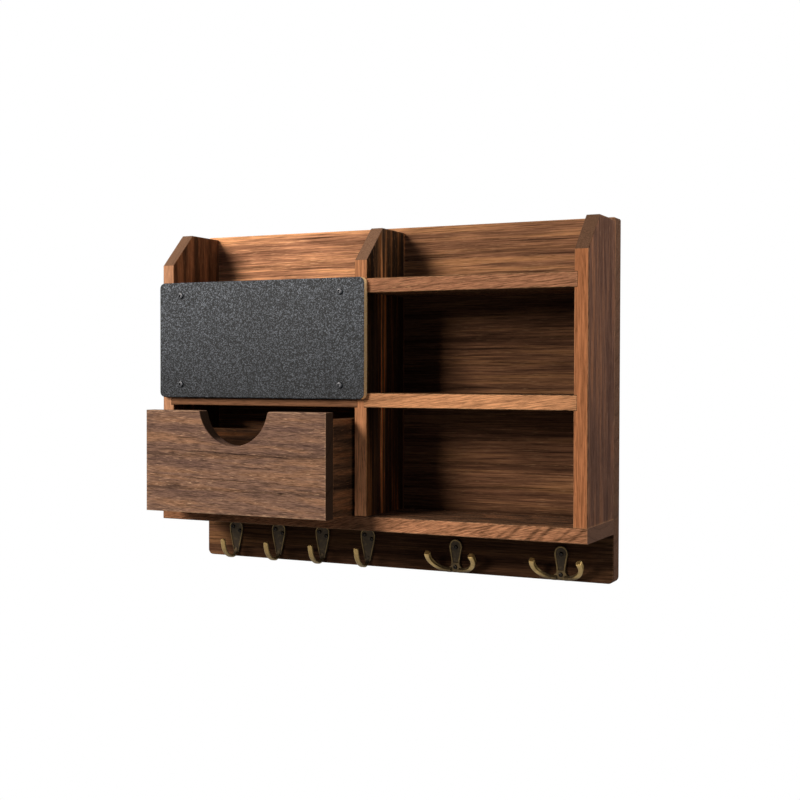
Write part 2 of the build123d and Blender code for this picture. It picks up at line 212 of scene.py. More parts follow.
def torchedPine(name, board, look):
    low, high = (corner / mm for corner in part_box(board))
    material, tree = newMaterial(name)
    inMm = objectMm(tree)
    axes = xyz(tree, inMm)
    normal = surfaceNormal(tree)
    pale = linear(look["pale"])
    turn = [a + b for a, b in zip(grainTurn[look["grain"]], look["tilt"])]
    along = addNode(tree, "ShaderNodeMapping", {
        "Rotation": turn, "Location": look["pith"], "Vector": inMm,
    }).outputs[0]

    def stretched(layer, output="Fac"):  # noise drawn out along the grain
        length, width = look[layer][:2]
        detail, shift = woodLayers[layer]
        drawn = addNode(tree, "ShaderNodeMapping", {
            "Scale": (1 / length, 1 / width, 1 / width), "Location": (shift, shift, shift), "Vector": along,
        })
        return noise(tree, drawn.outputs[0], 1.0, detail, woodNoise, output)

    def torched(colour, ramps):  # darker or lighter along an axis: partly torch tone, partly painted shade and painted light
        for axis, stops, *below in ramps:
            start, end = stops[0][0], stops[-1][0]
            reach = ranged(tree, axes["XYZ".index(axis)], start, end)
            places = [((at - start) / (end - start), grey(level / topLevel)) for at, level in stops]
            burn = calc(tree, "MULTIPLY", ramp(tree, reach, places), topLevel)
            if below:
                burn = blended(tree, ranged(tree, axes[2], below[0], below[0] - rampStripFade), 1.0, burn)
            colour = scaled(tree, colour, burn)
        return colour

    # stain that took unevenly, in bands and patches
    streak, fleck, patch, bands = (stretched(layer) for layer in ("streak", "fleck", "patch", "bands"))
    stain = [(at, linear(look[tint])) for tint, at in stainStops.items()]
    ground = ramp(tree, blended(tree, look["patchy"], bands, patch), stain)

    # streaks and pores as a brightness
    streaks = look["streaks"]
    streakTone = ranged(tree, streak, *woodSpans["streak"], 1 - darkStreaks * streaks, 1 + streaks)
    poreTone = ranged(tree, fleck, *woodSpans["pore"], 1 - look["pores"], 1.0)

    # ring lines round the pith, swaying along the board
    swayBy = look["sway"][2]
    swayMid = vectorCalc(tree, "SUBTRACT", stretched("sway", "Color"), (0.5, 0.5, 0.5))
    swayed = vectorCalc(tree, "ADD", along, vectorCalc(tree, "MULTIPLY", swayMid, (0, swayBy, swayBy)))
    rings = addNode(tree, "ShaderNodeTexWave", {
        "wave_type": "RINGS", "rings_direction": "X", "wave_profile": "SAW", "Distortion": 0.5,
        "Detail": 2.0, "Detail Scale": 0.3, "Scale": ringsPerScale / look["ringSpacing"], "Vector": swayed,
    })
    ringTone = ramp(tree, rings.outputs["Fac"], [(at, grey(level)) for at, level in ringTones])
    tone = product(tree, streakTone, poreTone, blended(tree, look["lines"], 1.0, ringTone))

    # front edges are sanded back
    forward = dot(tree, normal, (0, -1, 0))
    # ramps on all faces, before sanding: torch tone with painted shade and painted light
    faces = torched(scaled(tree, ground, tone), look["facesTorchAndShade"])
    sandedTint = scaled(tree, linear(look.get("sandedTint", look["warm"]))[:3], tone)
    sanded = mixed(tree, ranged(tree, forward, *woodSpans["front"], 0.0, look["sanded"]), faces, sandedTint)

    # pale fibres, in some patches more than in others, and few on shelf tops
    fibres = ranged(tree, fleck, *woodSpans["fibre"], 0.0, look["flecks"])
    inPatch = ranged(tree, patch, *woodSpans["patch"], fibresLeft["patch"], 1.0)
    onSides = ranged(tree, dot(tree, normal, (0, 0, 1)), *woodSpans["top"], 1.0, fibresLeft["top"])
    flecked = mixed(tree, product(tree, fibres, inPatch, onSides), sanded, pale)

    # rubbed edges: the second nearest face of the board's box is how far the edge is
    outwards = vectorCalc(tree, "ABSOLUTE", vectorCalc(tree, "SUBTRACT", inMm, (low + high) / 2))
    gaps = xyz(tree, vectorCalc(tree, "SUBTRACT", (high - low) / 2, outwards))
    nearer = calc(tree, "MINIMUM", gaps[0], gaps[1])
    farther = calc(tree, "MAXIMUM", gaps[0], gaps[1])
    edgeGap = calc(tree, "MAXIMUM", nearer, calc(tree, "MINIMUM", farther, gaps[2]))
    ragged = calc(tree, "ADD", edgeGap, calc(tree, "MULTIPLY_ADD", fleck, *raggedWear))
    wear = ranged(tree, ragged, wearStart, look["wearReach"], look["wear"], 0.0)
    worn = mixed(tree, wear, flecked, pale)
    # ramps after wear: torch tone with painted shade and painted light
    colour = torched(worn, look["torched"])

    # knots, checks and dark figure: middle in X and Z, half length, half width, slope, how dark
    for x, z, length, width, slope, level in look["marks"]:
        fromMark = vectorCalc(tree, "SUBTRACT", inMm, (x, 0, z))
        onward = dot(tree, fromMark, (1 / length, 0, 0))
        across = dot(tree, fromMark, (-slope / width, 0, 1 / width))
        spread = addNode(tree, "ShaderNodeCombineXYZ", {0: onward, 1: across}).outputs[0]
        away = addNode(tree, "ShaderNodeVectorMath", {"operation": "LENGTH", 0: spread}).outputs["Value"]
        fray = ranged(tree, streak, *woodSpans["fray"], -frayedMark, frayedMark)
        inMark = ranged(tree, calc(tree, "ADD", away, fray), *woodSpans["mark"], level, 1.0)
        colour = scaled(tree, colour, inMark)

    # end grain drinks stain another way
    endOn = calc(tree, "ABSOLUTE", dot(tree, normal, grainAxis[look["grain"]]))
    endColour = scaled(tree, linear(look["end"])[:3], ranged(tree, tone, 0.0, 2.0, *endTones))
    # the later ramps and the marks go only on faces turned to the front
    fronted = mixed(tree, ranged(tree, forward, *woodSpans["burnt"]), worn, colour)
    ended = mixed(tree, ranged(tree, endOn, *woodSpans["end"]), fronted, endColour)

    roughLow, roughHigh = look["roughness"]
    rough = ranged(tree, fleck, *woodSpans["rough"], roughHigh, roughLow)
    surface(tree, ended, rough, (*look["relief"], tone), {"Specular IOR Level": look["specular"]})
    return material


# Each board: grain direction, where its pith lies (mm), its stain, how torched, sanded and worn it is, and
# the shade and light painted on it.
# Torch-and-shade ramps, which hold painted shade and painted light as well as torch tone: axis, places in mm
# with their brightness, and for a strip the height that it starts below.
warmStain = {"dark": "#6c4a37", "mid": "#93684d", "warm": "#b28059", "pale": "#d0a27a", "end": "#513829"}
greyStain = {"dark": "#614b42", "mid": "#745a4c", "warm": "#86654f", "pale": "#c29e80", "end": "#3f2e23"}
deepStain = {"dark": "#2f2018", "mid": "#463021", "warm": "#67422a", "pale": "#8a5f3d", "end": "#573e30"}
boxStain = {"dark": "#3f2c20", "mid": "#60422d", "warm": "#8a5a3a", "pale": "#b07d55", "end": "#3a281e"}
boards = {
    "back_panel": {
        **warmStain, "grain": "X", "pith": (0, 60, -40), "streaks": 0.5, "flecks": 0.6, "ringSpacing": 21.0,
        "streak": (60.0, 0.85), "fleck": (11.0, 0.6), "patch": (150.0, 6.0), "bands": (420.0, 9.0),
        # painted shade and light: the rail under the bottom shelf and behind the drawer and the cubby backs
        # under the shelves are darker, the left half and the rail's right end lighter, and the faces at the
        # far right end darker
        "facesTorchAndShade": [("X", [(-203, 1.0), (186, 1.0), (195, 0.6), (203, 0.5)])],
        "torched": [
            ("X", [(-203, 2.0), (-172, 1.75), (-60, 1.65), (20, 0.76), (150, 0.72), (203, 0.9)]),
            ("Z", [
                (-282, 0.22), (-236, 0.17), (-215, 0.62), (-140, 0.60),
                (-110, 0.40), (-40, 0.40), (-25, 1.0), (25, 1.0),
            ]),
            ("X", [
                (-203, 0.85), (-182, 0.85), (-168, 0.5), (-110, 0.45), (-40, 0.7),
                (0, 1.1), (60, 1.25), (188, 1.55), (203, 2.8),
            ], -236),
        ],
        "marks": [
            (-97, -8, 80, 0.8, 0.005, 0.35), (-78, 20, 60, 0.8, 0, 0.35), (-120, -14, 60, 0.7, 0, 0.45),
            (150, 9, 60, 0.9, 0, 0.35), (130, -18, 70, 0.9, 0, 0.4), (110, -204, 85, 1.3, 0, 0.45),
            (150, -173, 55, 0.9, 0, 0.4), (95, -84, 80, 1.0, 0, 0.4),
        ],
    },
    "left_side": {
        "dark": "#3f2617", "mid": "#603a24", "warm": "#825032", "pale": "#a5734c", "end": "#7a5d4a",
        "grain": "Z", "pith": (30, 70, 45), "sanded": 0.9, "sandedTint": "#bb8a6a", "lines": 0.4,
    },
    "right_side": {
        "dark": "#432c22", "mid": "#553a2d", "warm": "#6d4833", "pale": "#a87c58", "end": "#5f4636",
        "grain": "Z", "pith": (80, 62, -60), "sanded": 0.95, "sandedTint": "#a46b47", "streak": (34.0, 0.7),
        "bands": (240.0, 14.0), "wear": 0.45, "flecks": 0.25, "lines": 0.25, "ringSpacing": 30.0,
    },
    "divider": {
        "dark": "#2c1f17", "mid": "#3d291a", "warm": "#845330", "pale": "#9a6a44", "end": "#7a5d4a",
        "grain": "Z", "pith": (10, 66, 52), "sanded": 0.95, "sandedTint": "#b07a56", "streak": (40.0, 0.7),
        "bands": (260.0, 8.0), "patchy": 0.25, "lines": 0.2,
        # painted light lifts the faces inside the cubbies, painted shade darkens a front strip of the faces
        # where the side lamp reaches them, and a few narrow bright lines run up the faces
        "facesTorchAndShade": [
            ("Z", [(-228, 3.6), (-140, 3.2), (-120, 2.6), (-40, 2.2), (-25, 1.0), (25, 1.0)]),
            ("Y", [
                (-88, 0.26), (-78, 0.35), (-72, 0.9), (-62, 1.0), (-60.5, 3.6), (-58.5, 1.2),
                (-56, 0.7), (-54, 2.0), (-51, 0.7), (-30, 0.6), (-18, 0.6), (-16, 2.4),
            ]),
        ],
        # painted light: the front edge is lighter low down, where the drawer's shadow falls on it
        "torched": [("Z", [(-228, 1.9), (-168, 1.9), (-145, 1.0), (25, 1.0)])],
    },
    "bottom_shelf": {
        "dark": "#402e24", "mid": "#614837", "warm": "#815a40", "pale": "#d2a27a", "end": "#573e30",
        "grain": "X", "pith": (50, 44, 190), "sanded": 0.95, "sandedTint": "#a87656",
        "tilt": (0, 0.22, 0.05), "streaks": 0.6, "pores": 0.55, "ringSpacing": 9.0,
        # painted shade: darker on the left, where the drawer's shadow falls
        "torched": [("X", [(-203, 0.55), (0, 0.55), (50, 1.0), (120, 1.0), (203, 0.8)])],
        "marks": [
            (106, -236, 12, 2.0, 0.5, 0.62), (119, -232, 14, 2.2, 0.6, 0.58),
            (131, -236, 16, 2.6, 0.7, 0.5), (143, -232, 16, 2.8, 0.8, 0.48),
            (156, -236, 16, 3.0, 0.9, 0.45), (168, -233, 16, 3.0, 0.9, 0.45),
            (181, -236, 14, 2.8, 0.9, 0.5), (194, -234, 12, 2.4, 0.8, 0.6),
        ],
    },
    "mail_shelf": {
        **deepStain, "grain": "X", "pith": (-60, 40, 90), "sanded": 0.85, "sandedTint": "#7a563f",
    },
    "middle_shelf": {
        **deepStain, "grain": "X", "pith": (90, 40, 84), "sanded": 0.95, "sandedTint": "#c38c64",
        "tilt": (0, 0.14, 0.014), "pale": "#dcae80", "streaks": 0.55, "ringSpacing": 11.0,
        "torched": [("X", [(4, 0.72), (40, 0.95), (110, 1.08), (150, 1.0), (203, 0.88)])],
    },
    "top_shelf": {
        **deepStain, "grain": "X", "pith": (-30, 48, 2), "sanded": 0.95, "sandedTint": "#976a4f",
        "tilt": (0, 0.10, 0.014), "pale": "#c79a70", "streaks": 0.6, "pores": 0.5, "flecks": 0.7,
        "ringSpacing": 9.0,
    },
    "left_cleat": {**deepStain, "grain": "Z", "pith": (5, 90, 160)},
    "right_cleat": {**deepStain, "grain": "Z", "pith": (25, 90, -30)},
    "drawer_front": {
        **greyStain, "grain": "X", "pith": (20, 170, 140), "wear": 0.7, "streaks": 0.5, "flecks": 0.7,
        "pores": 0.45, "tilt": (0, -0.03, 0.05), "ringSpacing": 26.0, "patchy": 0.5, "ease": 1.1,
        "streak": (30.0, 0.55), "fleck": (8.0, 0.55), "patch": (90.0, 5.0),
        "marks": [
            (-50, -207, 4.0, 1.2, 0, 0.25), (-158, -204, 8.0, 2.6, 0, 0.4),
            (-97, -175, 120, 1.0, -0.04, 0.45), (-97, -198, 110, 0.9, -0.03, 0.5),
            (-60, -187, 45, 0.8, -0.03, 0.6), (-140, -162, 40, 0.8, -0.02, 0.6),
        ],
    },
    "drawer_left_side": {**boxStain, "grain": "Y", "pith": (0, 150, 150)},
    "drawer_right_side": {**boxStain, "grain": "Y", "pith": (30, -60, 150)},
    "drawer_back": {**deepStain, "grain": "X", "pith": (70, 100, 150)},
}
touching = 0.01  # mm; places closer than this count as one
eased = math.radians(40)  # edges that turn more than this are rounded, and flatter ones shade smooth


# Modelling helpers. The test in pick gets places in mm, as the dictionaries have them.
def startOver():
    if bpy.context.mode != "OBJECT":
        bpy.ops.object.mode_set(mode="OBJECT")
    bpy.ops.object.select_all(action="DESELECT")


def activate(piece):  # object mode, with only this piece selected
    startOver()
    piece.select_set(True)
    bpy.context.view_layer.objects.active = piece


def settle(piece):  # its place, turn and size go into its mesh
    activate(piece)
    bpy.ops.object.transform_apply(location=True, rotation=True, scale=True)


def pick(piece, kind, test):  # edit mode, with only what passes the test selected
    bpy.context.view_layer.objects.active = piece
    bpy.ops.object.mode_set(mode="EDIT")
    bpy.ops.mesh.select_mode(type=kind)
    bpy.ops.mesh.select_all(action="DESELECT")
    bpy.ops.object.mode_set(mode="OBJECT")
    mesh = piece.data
    if kind == "FACE":
        for face in mesh.polygons:
            face.select = test(face.center / mm, face.normal)
    elif kind == "EDGE":
        for edge in mesh.edges:
            edge.select = test(*(mesh.vertices[v].co / mm for v in edge.vertices))
    else:
        for vertex in mesh.vertices:
            vertex.select = test(vertex.co / mm)
    bpy.ops.object.mode_set(mode="EDIT")


def pickFaces(piece):
    pick(piece, "FACE", lambda at, normal: True)


def pickCorners(piece):
    pick(piece, "VERT", lambda at: True)


def extrude(step):  # what is picked, drawn out by a step in m
    bpy.ops.mesh.extrude_region_move(TRANSFORM_OT_translate={"value": step})


def closeMesh(piece):  # doubles merged, faces outwards, back in object mode
    pickCorners(piece)
    bpy.ops.mesh.remove_doubles(threshold=touching * mm)
    bpy.ops.mesh.normals_make_consistent(inside=False)
    bpy.ops.object.mode_set(mode="OBJECT")


def applyModifier(piece, kind, settings):
    activate(piece)
    modifier = piece.modifiers.new(kind.lower(), kind)
    for key, value in settings.items():
        setattr(modifier, key, value)
    bpy.ops.object.modifier_apply(modifier=modifier.name)


def place(master, name, at, turn=0.0):  # a copy with its own mesh, turned about X and moved to its place
    activate(master)
    bpy.ops.object.duplicate(linked=False)
    copy = bpy.context.object
    copy.name = copy.data.name = name
    copy.location = at
    copy.rotation_euler = (turn, 0, 0)
    settle(copy)
    return copy


def scrap(piece):  # a master or cutter that has done its work
    bpy.data.objects.remove(piece, do_unlink=True)


def easedBoard(node, ease):  # the board's own shape, its long edges rubbed round with sandpaper
    first, *rest = node.split("_")
    board = place(nodes[node], first + "".join(word.title() for word in rest), (0, 0, 0))
    closeMesh(board)
    pickFaces(board)
    bpy.ops.mesh.dissolve_limited(angle_limit=math.radians(0.5))
    bpy.ops.object.mode_set(mode="OBJECT")
    rounding = {"width": ease * mm, "segments": 2, "limit_method": "ANGLE", "angle_limit": eased}
    applyModifier(board, "BEVEL", rounding)
    bpy.ops.object.shade_smooth_by_angle(angle=eased)
    applyModifier(board, "WEIGHTED_NORMAL", {"keep_sharp": True})
    return board


recessWall = 0.4  # mm across the sloping side of a hook plate's recess
grooveWall = 0.3


def hookPlate(look):  # rows: drop in mm and width; rounds: row number, radius, segments
    rows = look["rows"]
    top, foot = rows[0][0], rows[-1][0]
    middle = (0, 0, -(top + foot) / 2 * mm)
    startOver()
    bpy.ops.mesh.primitive_plane_add(size=1, rotation=(math.pi / 2, 0, 0), location=middle)
    plate = bpy.context.object
    plate.scale = (mm, (foot - top) * mm, 1)
    settle(plate)
    for drop, _ in rows[1:-1]:
        pickFaces(plate)
        bpy.ops.mesh.bisect(plane_co=(0, 0, -drop * mm), plane_no=(0, 0, 1))
    for drop, width in rows:
        pick(plate, "VERT", lambda at: abs(at.z + drop) < touching)
        bpy.ops.transform.resize(value=(width, 1, 1), center_override=(0, 0, 0))
    pickFaces(plate)
    bpy.ops.mesh.dissolve_faces()
    for row, radius, segments in look["rounds"]:
        drop, width = rows[row]
        pick(plate, "VERT", lambda at: abs(at.z + drop) < touching and abs(abs(at.x) - width / 2) < touching)
        bpy.ops.mesh.bevel(offset=radius * mm, segments=segments, affect="VERTICES")
    pickFaces(plate)
    extrude((0, -look["plate"] * mm, 0))
    closeMesh(plate)
    if "rim" in look:
        pick(plate, "FACE", lambda at, normal: normal.y < -0.9)
        bpy.ops.mesh.inset(thickness=look["rim"] * mm)
        bpy.ops.mesh.inset(thickness=recessWall * mm, depth=-look["recess"] * mm)
        bpy.ops.object.mode_set(mode="OBJECT")
    return plate


def armSection(look, at, turn):  # the arm's rounded section, flat, where the arm starts
    startOver()
    bpy.ops.mesh.primitive_plane_add(size=1)
    arm = bpy.context.object
    arm.scale = (look["armSection"][0] * mm, look["armSection"][1] * mm, 1)
    settle(arm)
    pickCorners(arm)
    bpy.ops.mesh.bevel(offset=look["armRound"] * mm, segments=3, affect="VERTICES")
    for axisTurn in turn:
        arm.rotation_euler = axisTurn
        settle(arm)
    arm.location = at
    settle(arm)
    pickFaces(arm)
    return arm


def swell(arm, factor):  # the picked end grows about its own middle
    arm.update_from_editmode()
    end = [vertex.co for vertex in arm.data.vertices if vertex.select]
    bpy.ops.transform.resize(value=(factor, factor, factor), center_override=sum(end, Vector()) / len(end))


def bendArm(arm, middle, axis, turn, steps, growth):
    for step in range(steps):
        bpy.ops.mesh.spin(steps=1, angle=math.radians(turn) / steps, center=middle, axis=axis)
        swell(arm, growth ** (1 / steps))


def roundTip(arm, look, forward):  # short steps that close the arm with a soft end
    for step, factor in look["tipSteps"]:
        extrude(forward * step * mm)
        swell(arm, factor)
    closeMesh(arm)


def groove(arm, look, test):  # a shallow channel between two rims, along the faces that pass the test
    pick(arm, "FACE", test)
    bpy.ops.mesh.inset(thickness=look["armRim"] * mm)
    bpy.ops.mesh.inset(thickness=grooveWall * mm, depth=-look["armGroove"] * mm)
    bpy.ops.object.mode_set(mode="OBJECT")


def cast(plate, arm, name, look):  # plate, foot and arm run into one casting with soft corners
    foot = [hookPlate(look["foot"])] if "foot" in look else []
    startOver()
    for piece in [plate, arm] + foot:
        piece.select_set(True)
    bpy.context.view_layer.objects.active = plate
    bpy.ops.object.join()
    plate.name = plate.data.name = name
    applyModifier(plate, "REMESH", {"mode": "VOXEL", "voxel_size": look["grainSize"] * mm})
    applyModifier(plate, "SMOOTH", {"factor": 0.5, "iterations": look["soften"]})
    bpy.ops.object.shade_smooth()
    return plate


# Single hook: a kite-shaped plate with a raised rim, and a flat arm that swings out from its foot
singleHook = {
    "rows": [(8.4, 13.8), (16.4, 14.8), (37.5, 5.2)],  # mm below the shelf, width
    "rounds": [(0, 4.4, 6), (1, 5.0, 4), (2, 1.2, 2)],
    "plate": 2.4, "rim": 0.8, "recess": 0.9,
    "armSection": (3.2, 2.0), "armRound": 0.65, "armTop": 33.0, "armLow": 40.7, "armMiddle": 8.7,
    "outerBend": 15.5, "tipTurn": 78.0, "tipRun": 4.6, "armGrowth": (1.2, 1.22), "bendSteps": (10, 14),
    "armRim": 0.6, "armGroove": 0.35, "grooveStart": 2, "tipSteps": [(0.7, 0.9), (0.4, 0.72)],
    "screws": [(-3.6, 13.3, 0.0), (3.8, 17.0, 0.0)],  # mm from the middle, below the shelf, above the recess
    "grainSize": 0.25, "soften": 3, "soot": 0.75,
    "rub": (40, 26, 0.55, 1.05),  # mm below the shelf from and to, brightness there
}


def singleHookArm(look):
    thick = look["armSection"][1]
    bendTop = look["armLow"] - (look["armMiddle"] - thick / 2)
    arm = armSection(look, (0, -thick / 2 * mm, -look["armTop"] * mm), [])
    extrude((0, 0, (look["armTop"] - bendTop) * mm))
    firstGrowth, secondGrowth = look["armGrowth"]
    firstSteps, secondSteps = look["bendSteps"]
    middle = -look["armMiddle"]
    bendArm(arm, (0, middle * mm, -bendTop * mm), (1, 0, 0), 90, firstSteps, firstGrowth)
    outer = Vector((0, middle, look["outerBend"] - look["armLow"]))
    bendArm(arm, outer * mm, (1, 0, 0), look["tipTurn"], secondSteps, secondGrowth)
    turned = math.radians(look["tipTurn"])
    forward = Vector((0, -math.cos(turned), math.sin(turned)))
    extrude(forward * look["tipRun"] * mm)
    roundTip(arm, look, forward)

    def outside(at, normal):
        away = (Vector((0, at.y, at.z)) - outer).normalized()
        return at.y < middle - look["grooveStart"] and abs(normal.x) < 0.1 and away.dot(normal) > 0.85

    groove(arm, look, outside)
    return arm


# Double hook: a plate that narrows to a waist and spreads into two arms, which rise leaning forward
doubleHook = {
    "rows": [(12.4, 6.4), (17.2, 12.8), (33.6, 6.8), (37.6, 9.6), (41.2, 9.6)],
    "rounds": [(0, 2.8, 6), (1, 3.0, 5), (2, 4.0, 6), (3, 1.6, 4), (4, 1.6, 4)],
    "foot": {
        "rows": [(33.0, 6.4), (35.4, 8.2), (37.0, 12.0), (38.2, 16.4), (39.2, 20.0), (41.0, 20.0)],
        "rounds": [(1, 1.0, 3), (2, 1.0, 3), (3, 0.9, 3)], "plate": 2.5,
    },
    "plate": 2.4, "rim": 1.1, "recess": 0.8,
    "armSection": (3.1, 3.6), "armRound": 0.7, "armOut": 2.9, "armRise": 1.8, "armStart": 3.4, "armRun": 4.7,
    "armBend": 16.6, "armLean": 42.0, "tipTurn": 100.0, "tipRun": 2.0, "armGrowth": 1.42, "bendSteps": 20,
    "armRim": 0.6, "armGroove": 0.3, "grooveStart": 3, "grooveEnd": 1.5,
    "tipSteps": [(0.35, 0.92), (0.2, 0.82)],
    "screws": [(0.0, 19.2, 0.0), (0.0, 36.7, 0.7)],
    "grainSize": 0.25, "soften": 3, "soot": 0.3, "rub": (29, 24, 1.0, 1.8),
}


def doubleHookArms(look):
    lean = math.radians(look["armLean"])
    rising = Vector((0, -math.sin(lean), math.cos(lean)))
    front = Vector((0, -math.cos(lean), -math.sin(lean)))
    root = Vector((look["armStart"], -look["armOut"], look["armRise"] - look["rows"][-1][0]))
    arm = armSection(look, root * mm, [(0, math.pi / 2, 0), (lean, 0, 0)])
    run = Vector((look["armRun"] - look["armStart"], 0, 0))
    extrude(run * mm)
    middle = root + run + rising * look["armBend"]
    bendArm(arm, middle * mm, -front, look["tipTurn"], look["bendSteps"], look["armGrowth"])
    turned = math.radians(look["tipTurn"])
    forward = Vector((math.cos(turned), 0, 0)) + rising * math.sin(turned)
    extrude(forward * look["tipRun"] * mm)
    roundTip(arm, look, forward)
    tip = middle + (Vector((math.sin(turned), 0, 0)) - rising * math.cos(turned)) * look["armBend"]

    def inside(at, normal):
        inwards = (middle - at).normalized().dot(normal) > 0.8 and abs(normal.dot(front)) < 0.1
        pastRoot = at.x > look["armRun"] + look["grooveStart"]
        return inwards and pastRoot and (at - tip).length > look["grooveEnd"]

    groove(arm, look, inside)
    applyModifier(arm, "MIRROR", {"use_axis": (True, False, False), "use_mirror_merge": False})
    closeMesh(arm)
    return arm


# Screws: a round profile drawn out step by step along Y, with a cross cut into the head
hookScrew = {
    "profile": [(0.9, -1.5), (1.5, -1.32), (1.85, -0.85), (2.0, 0.0), (1.2, 0.0), (1.2, 9.5), (0.2, 12.0)],
    "cross": (0.55, 2.3, 0.9), "sides": 28,  # mm: slot width, length and depth
}
boardScrew = {
    "profile": [(1.7, -1.8), (2.3, -1.6), (2.65, -1.0), (2.8, 0.0), (1.5, 0.0), (1.5, 13.0), (0.25, 16.0)],
    "cross": (1.0, 3.4, 1.2), "sides": 32,
}
woodScrew = {
    "profile": [(3.5, 0.0), (1.75, 1.75), (1.75, 34.6), (0.3, 40.0)],
    "cross": (0.9, 4.0, 1.3), "sides": 32,
}
crossTaper = 0.6  # how much of the cross is left at its bottom
screwSmooth = math.radians(35)


def crossScrew(name, look):
    radius, start = look["profile"][0]
    startOver()
    bpy.ops.mesh.primitive_circle_add(
        vertices=look["sides"], radius=radius * mm, fill_type="NGON", rotation=(math.pi / 2, 0, 0),
        location=(0, start * mm, 0),
    )
    screw = bpy.context.object
    screw.name = screw.data.name = name
    settle(screw)
    pickFaces(screw)
    for (radius, at), (nextRadius, nextAt) in zip(look["profile"], look["profile"][1:]):
        extrude((0, (nextAt - at) * mm, 0))
        scale = nextRadius / radius
        bpy.ops.transform.resize(value=(scale, 1, scale), center_override=(0, nextAt * mm, 0))
    closeMesh(screw)

    # the driver's cross: a small block with an arm drawn out of each side
    slot, length, depth = look["cross"]
    startOver()
    bpy.ops.mesh.primitive_cube_add(size=1, location=(0, start * mm, 0))
    cutter = bpy.context.object
    cutter.scale = (slot * mm, 2 * depth * mm, slot * mm)
    settle(cutter)
    for side in (Vector((1, 0, 0)), Vector((-1, 0, 0)), Vector((0, 0, 1)), Vector((0, 0, -1))):
        def blockSide(at, normal):
            return normal.dot(side) > 0.9 and abs(at.dot(side) - slot / 2) < touching

        pick(cutter, "FACE", blockSide)
        extrude(side * (length - slot) / 2 * mm)
    pick(cutter, "FACE", lambda at, normal: normal.y > 0.9)
    bpy.ops.transform.resize(value=(crossTaper, 1, crossTaper), center_override=(0, 0, 0))
    closeMesh(cutter)
    applyModifier(screw, "BOOLEAN", {"operation": "DIFFERENCE", "solver": "EXACT", "object": cutter})
    scrap(cutter)
    activate(screw)
    bpy.ops.object.shade_smooth_by_angle(angle=screwSmooth)
    return screw


# Antique brass castings: dark oxide in the recess and at the root, rims and arms rubbed back to the metal,
# with painted shade at the root and painted light on the raised tips
brassFinish = {
    "reach": 10.0,  # mm out from the rail that the next line's places are shares of
    "rubbedAndShaded": [(0.0, 0.0), (0.19, 0.0), (0.23, 0.45), (0.27, 0.15), (0.45, 0.2), (0.85, 0.85)],
    "root": (30, 34),  # mm below the shelf, where the arm leaves the plate
    "freeArm": (4.0, 7.0),  # mm out from the rail
    "tarnish": 4.0, "tarnishShare": 0.7, "pit": 0.7,  # mm, share, mm
    "colours": [(0.0, "#372d20"), (0.45, "#705c38"), (1.0, "#ad915b")],
    "roughness": (0.65, 0.42), "metallic": 0.7, "relief": (0.12, 0.15),
}


def antiqueBrass(name, railFace, shelfUnder, look, finish):  # the two places in mm
    material, tree = newMaterial(name)
    inMm = objectMm(tree)
    axes = xyz(tree, inMm)
    out = calc(tree, "SUBTRACT", railFace, axes[1])
    # dark oxide in the recess, rims and arms rubbed bright, and a painted-shade dip where the arm leaves the
    # plate
    rubbedAndShaded = ramp(
        tree, ranged(tree, out, 0.0, finish["reach"]), [(at, grey(level)) for at, level in finish["rubbedAndShaded"]]
    )
    rootTop, rootLow = (shelfUnder - drop for drop in finish["root"])
    foot = ranged(tree, axes[2], rootTop, rootLow, 1.0, 1 - look["soot"])  # darker at the root: oxide there, and painted shade inside the arm's bend
    free = ranged(tree, out, *finish["freeArm"])
    wornAndShaded = calc(tree, "MULTIPLY", rubbedAndShaded, calc(tree, "MAXIMUM", foot, free))
    tarnish = noise(tree, inMm, finish["tarnish"], 3.0, 0.6)
    share = finish["tarnishShare"]
    bright = calc(tree, "ADD", wornAndShaded, calc(tree, "MULTIPLY_ADD", tarnish, share, -share / 2))
    colour = ramp(tree, bright, [(at, linear(tint)) for at, tint in finish["colours"]])
    fromDrop, toDrop, fromLevel, toLevel = look["rub"]  # painted light: the arms lighter towards their raised tips, darker low down
    raised = ranged(tree, axes[2], shelfUnder - fromDrop, shelfUnder - toDrop, fromLevel, toLevel)
    tipLitColour = scaled(tree, colour, blended(tree, free, 1.0, raised))
    rough = ranged(tree, bright, 0.0, 1.0, *finish["roughness"])
    relief = (*finish["relief"], noise(tree, inMm, finish["pit"], 2.0))
    surface(tree, tipLitColour, rough, relief, {"Metallic": finish["metallic"]})
    return material


# Plated and oxidised steel, and raw fibreboard: one mottled ground, two colours and a fine relief
def mottled(name, colours, spot, metallic, roughness, relief):
    material, tree = newMaterial(name)
    spots = noise(tree, objectMm(tree), spot, 4.0, 0.6)
    colour = ramp(tree, spots, [(0.35, linear(colours[0])), (0.65, linear(colours[1]))])
    rough = ranged(tree, spots, 0.3, 0.7, *roughness)
    surface(tree, colour, rough, (0.4, relief, spots), {"Metallic": metallic})
    return material


# black oxide gives a soft dark steel, and its paler, duller copy on the chalkboard screws is painted light;
# zinc gives a pale patchy one and pressed fibres a brown felt-like board
blackOxide = mottled("blackOxideSteel", ("#15110e", "#2b241e"), 1.5, 0.8, (0.25, 0.42), 0.05)
litBlackOxide = mottled("litBlackOxideSteel", ("#303134", "#56585c"), 1.5, 0.8, (0.34, 0.48), 0.05)
zinc = mottled("zincPlatedSteel", ("#a9a79f", "#cfcdc6"), 2.0, 1.0, (0.28, 0.45), 0.05)
fibreboard = mottled("rawFibreboard", ("#6d4f35", "#9a7551"), 1.2, 0.0, (0.75, 0.9), 0.2)
dress(nodes["drawer_bottom"], fibreboard)
dress(nodes["drawer_brads"], zinc)


def addPiece(piece, material, node, body="case"):
    dress(piece, material)
    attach(piece, body)
    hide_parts(node)


